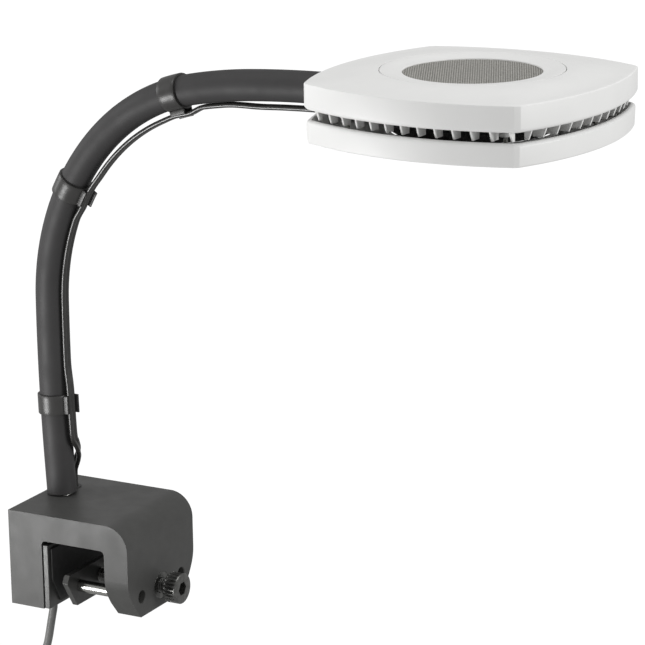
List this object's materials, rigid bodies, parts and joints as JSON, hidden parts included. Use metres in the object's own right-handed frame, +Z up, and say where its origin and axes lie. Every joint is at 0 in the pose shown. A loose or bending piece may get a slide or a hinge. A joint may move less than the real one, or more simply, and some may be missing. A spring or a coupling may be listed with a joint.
{
  "type": "solder fume extractor",
  "caption": "Clamp-on solder fume extractor: square fan head with a vaned slot, round mesh outlet and filter, on a sleeved gooseneck arm with a clipped cable.",
  "frame": {"origin": "centre of the fixed jaw's face on the clamp screw's axis", "axes": "+X along the clamp screw towards its knob and the head, +Z up, +Y across the clamp"},
  "size_m": [0.4433, 0.1706, 0.5356],
  "materials": {
    "clamp_coat": "fine matt powder coat, dark grey",
    "jaw_steel": "satin dark zinc",
    "jaw_pad": "matt",
    "pin_steel": "ground and polished",
    "black_oxide": "black oxide, slightly glossy",
    "grommet_rubber": "matt",
    "cord_jacket": "smooth grey vinyl",
    "plug_black": "fine grained moulding",
    "core_steel": "zinc plated",
    "arm_sleeve": "soft matt rubber, dark grey",
    "arm_cable": "glossy black vinyl",
    "clip_plastic": "satin dark grey",
    "shell_white": "fine satin white",
    "mesh_grey": "woven wire, warm grey",
    "screw_steel": "zinc plated",
    "fan_black": "fine grained black moulding",
    "motor_copper": "varnished winding",
    "board_green": "solder mask",
    "filter_foam": "open cell carbon foam",
    "button_grey": "satin"
  },
  "bodies": {
    "clamp": {"clamp_body": "clamp_coat", "screw_leg": "clamp_coat", "thread_insert": "black_oxide", "fixed_jaw_plate": "jaw_steel", "fixed_jaw_pad": "jaw_pad", "socket_screw": "black_oxide", "cable_grommet": "grommet_rubber", "inner_lead": "arm_cable", "cord_grommet": "grommet_rubber", "power_cord": "cord_jacket", "cord_coil": "cord_jacket", "cord_tail": "cord_jacket", "cord_tie": "plug_black", "plug_body": "plug_black", "plug_barrel": "pin_steel"},
    "jaw": {"moving_jaw": "jaw_steel", "moving_jaw_pad": "jaw_pad", "guide_pins": "pin_steel"},
    "screw": {"clamp_screw": "black_oxide", "screw_knob": "black_oxide"},
    "arm_base": {"arm_ferrule": "screw_steel", "core_base": "core_steel", "sleeve_base": "arm_sleeve", "cable_base": "arm_cable"},
    "arm_lower": {"core_lower": "core_steel", "sleeve_lower": "arm_sleeve", "cable_lower": "arm_cable", "clip_lower": "clip_plastic"},
    "arm_middle": {"core_middle": "core_steel", "sleeve_middle": "arm_sleeve", "cable_middle": "arm_cable", "clip_middle": "clip_plastic"},
    "arm_upper": {"core_upper": "core_steel", "sleeve_upper": "arm_sleeve", "cable_upper": "arm_cable", "clip_upper": "clip_plastic"},
    "arm_tip": {"core_tip": "core_steel", "sleeve_tip": "arm_sleeve", "cable_tip": "arm_cable"},
    "head": {"core_end": "core_steel", "sleeve_end": "arm_sleeve", "cable_end": "arm_cable", "arm_collar": "clip_plastic", "arm_bracket": "screw_steel", "upper_shell": "shell_white", "lower_shell": "shell_white", "exhaust_ring": "shell_white", "exhaust_mesh": "mesh_grey", "vane_ring": "shell_white", "shell_screws": "screw_steel", "fan_frame": "fan_black", "fan_motor": "motor_copper", "fan_screws": "screw_steel", "control_board": "board_green", "board_cover": "shell_white", "carbon_filter": "filter_foam"},
    "rotor": {"rotor_shaft": "pin_steel", "impeller": "fan_black"},
    "filter_cover": {"filter_cover": "shell_white"},
    "button": {"power_button": "button_grey"}
  },
  "joints": [
    {"name": "jaw_slide", "type": "slide", "parent": "clamp", "child": "jaw", "axis": [1, 0, 0], "range_m": [-0.0057, 0.029]},
    {"name": "screw_spin", "type": "hinge", "parent": "jaw", "child": "screw", "pos_m": [0.0655, 0, 0], "axis": [1, 0, 0], "range_deg": [-1400, 7000]},
    {"name": "arm_swivel", "type": "hinge", "parent": "clamp", "child": "arm_base", "pos_m": [-0.0182, 0.0045, 0.0505], "axis": [-0.0521, 0.0046, 0.9986], "range_deg": [-30, 30]},
    {"name": "lower_bend", "type": "hinge", "parent": "arm_base", "child": "arm_lower", "pos_m": [-0.01945, 0.00461, 0.07447], "axis": [0.0872, 0.9962, 0], "range_deg": [-20, 20]},
    {"name": "middle_bend", "type": "hinge", "parent": "arm_lower", "child": "arm_middle", "pos_m": [-0.02133, 0.00477, 0.18243], "axis": [0.0872, 0.9962, 0], "range_deg": [-30, 30]},
    {"name": "upper_bend", "type": "hinge", "parent": "arm_middle", "child": "arm_upper", "pos_m": [0.02463, 0.00075, 0.2911], "axis": [0.0872, 0.9962, 0], "range_deg": [-30, 30]},
    {"name": "head_yaw", "type": "hinge", "parent": "arm_upper", "child": "arm_tip", "pos_m": [0.09543, -0.00544, 0.32969], "axis": [-0.2071, 0.0181, 0.9781], "range_deg": [-30, 30]},
    {"name": "head_tilt", "type": "hinge", "parent": "arm_tip", "child": "head", "pos_m": [0.13974, -0.00932, 0.33634], "axis": [0.0872, 0.9962, 0], "range_deg": [-35, 35]},
    {"name": "fan_spin", "type": "hinge", "parent": "head", "child": "rotor", "pos_m": [0.29406, -0.02282, 0.34483], "axis": [0, 0, 1], "continuous": true},
    {"name": "filter_twist", "type": "hinge", "parent": "head", "child": "filter_cover", "pos_m": [0.29406, -0.02282, 0.32183], "axis": [0, 0, 1], "range_deg": [0, 23]},
    {"name": "button_press", "type": "slide", "parent": "head", "child": "button", "axis": [0, 0, 1], "range_m": [0, 0.0012], "stiffness_N_per_m": 800, "springref_m": -0.0008}
  ],
  "couplings": [
    {"joint": "screw_spin", "follows": "jaw_slide", "rad_per_m": 4188.8}
  ]
}
